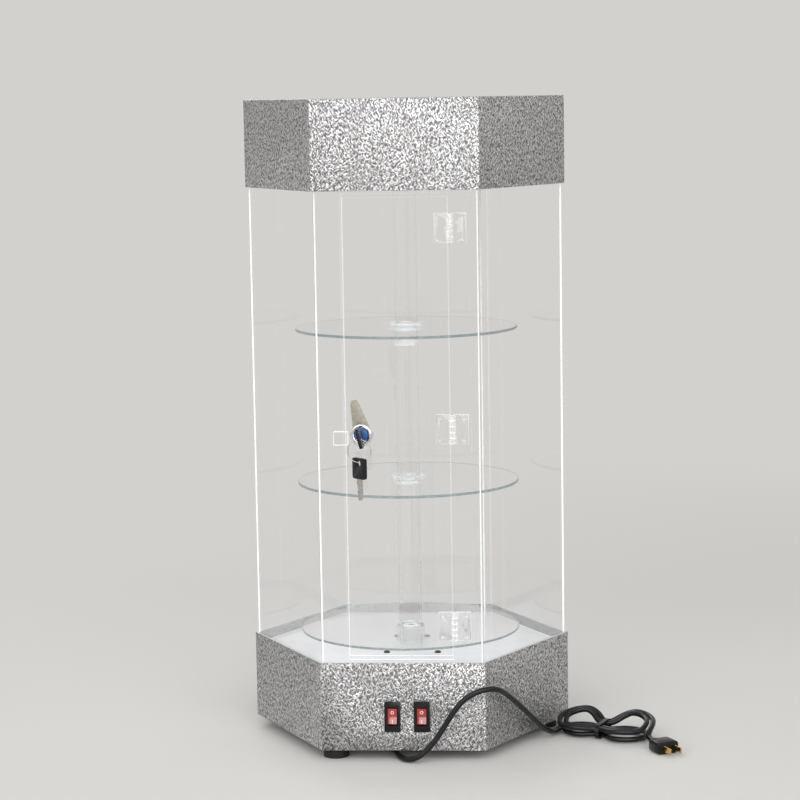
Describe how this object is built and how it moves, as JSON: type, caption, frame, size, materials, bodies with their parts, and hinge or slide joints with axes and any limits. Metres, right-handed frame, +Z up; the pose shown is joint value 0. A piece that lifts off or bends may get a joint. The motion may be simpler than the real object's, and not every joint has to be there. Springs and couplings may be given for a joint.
{
  "type": "rotating display case",
  "caption": "Free-standing hexagonal clear display case with a hinged lockable door, a motor-turned carousel of round shelves, silver skirts, rocker switches and a mains lead.",
  "frame": {"origin": "on the floor under the centre of the hexagon, the carousel's axis", "axes": "+Z up, the door faces -Y, +X to the right seen from the front; the corners on X"},
  "size_m": [0.4697, 0.3373, 0.7],
  "materials": {
    "aluminium_sheet": "stucco embossed silver composite sheet",
    "white_plastic": "satin white",
    "grey_plastic": "matte grey",
    "post_plastic": "matte white nylon",
    "rubber": "matte black rubber",
    "steel": "nickel plated",
    "black_screw": "black oxide",
    "clear_acrylic": "clear polished acrylic",
    "chrome": "polished chrome",
    "blue_plastic": "gloss blue",
    "black_plastic": "satin black",
    "red_plastic": "gloss red",
    "brass": "bright brass",
    "lamp_lens": "frosted",
    "cord_black": "satin black PVC"
  },
  "bodies": {
    "cabinet": {"base_skirt": "aluminium_sheet", "top_skirt": "aluminium_sheet", "base_deck": "white_plastic", "ceiling_panel": "white_plastic", "thrust_washer": "white_plastic", "ceiling_bush": "white_plastic", "lamp_lead": "white_plastic", "bottom_plate": "grey_plastic", "top_cover": "grey_plastic", "lamp_driver": "grey_plastic", "corner_posts": "post_plastic", "rubber_feet": "rubber", "foot_screws": "steel", "motor_plate": "steel", "gear_motor": "steel", "hinge_pins": "steel", "motor_screws": "black_screw", "front_frame": "clear_acrylic", "panel_front_right": "clear_acrylic", "panel_rear_right": "clear_acrylic", "panel_rear": "clear_acrylic", "panel_rear_left": "clear_acrylic", "panel_front_left": "clear_acrylic", "keeper_block": "clear_acrylic", "hinge_fixed_leaves": "clear_acrylic", "lamp_cans": "chrome", "switch_housings": "black_plastic", "lead_outlet": "black_plastic", "plug_body": "black_plastic", "switch_terminals": "brass", "plug_blades": "brass", "lamp_lenses": "lamp_lens", "cord_free": "cord_black", "cord_hank": "cord_black", "hank_tie": "cord_black"},
    "carousel": {"motor_shaft": "steel", "shaft_coupling": "post_plastic", "foot_hub": "clear_acrylic", "turntable_disc": "clear_acrylic", "centre_tube": "clear_acrylic", "shelf_middle": "clear_acrylic", "shelf_upper": "clear_acrylic", "shelf_rings": "clear_acrylic", "shelf_sleeves": "clear_acrylic", "pivot_plug": "clear_acrylic"},
    "door": {"door_panel": "clear_acrylic", "hinge_door_leaves": "clear_acrylic", "lock_barrel": "chrome", "lock_nut": "chrome"},
    "lock": {"lock_plug": "blue_plastic", "lock_cam": "steel", "cam_screw": "steel", "key_blade": "steel", "key_head": "black_plastic"},
    "key_ring": {"key_ring": "steel"},
    "spare_key": {"spare_key_head": "black_plastic", "spare_key_blade": "steel"},
    "rocker_left": {"rocker_left": "red_plastic"},
    "rocker_right": {"rocker_right": "red_plastic"}
  },
  "joints": [
    {"name": "carousel_spin", "type": "hinge", "parent": "cabinet", "child": "carousel", "pos_m": [0, 0, 0.0955], "axis": [0, 0, 1], "continuous": true},
    {"name": "door_swing", "type": "hinge", "parent": "cabinet", "child": "door", "pos_m": [0.0562, -0.15165, 0.356], "axis": [0, 0, 1], "range_deg": [0, 165]},
    {"name": "lock_turn", "type": "hinge", "parent": "door", "child": "lock", "pos_m": [-0.0394, -0.14825, 0.3503], "axis": [0, -1, 0], "range_deg": [-14, 76]},
    {"name": "key_ring_roll", "type": "hinge", "parent": "lock", "child": "key_ring", "pos_m": [-0.0394, -0.17675, 0.3495], "axis": [0, -1, 0], "range_deg": [-12, 40]},
    {"name": "spare_key_swing", "type": "hinge", "parent": "key_ring", "child": "spare_key", "pos_m": [-0.0394, -0.17675, 0.3255], "axis": [-1, 0, 0], "range_deg": [-15, 60]},
    {"name": "rocker_left_tip", "type": "hinge", "parent": "cabinet", "child": "rocker_left", "pos_m": [-0.0113, -0.14995, 0.049], "axis": [1, 0, 0], "range_deg": [0, 20]},
    {"name": "rocker_right_tip", "type": "hinge", "parent": "cabinet", "child": "rocker_right", "pos_m": [0.0199, -0.14995, 0.049], "axis": [1, 0, 0], "range_deg": [0, 20]}
  ]
}
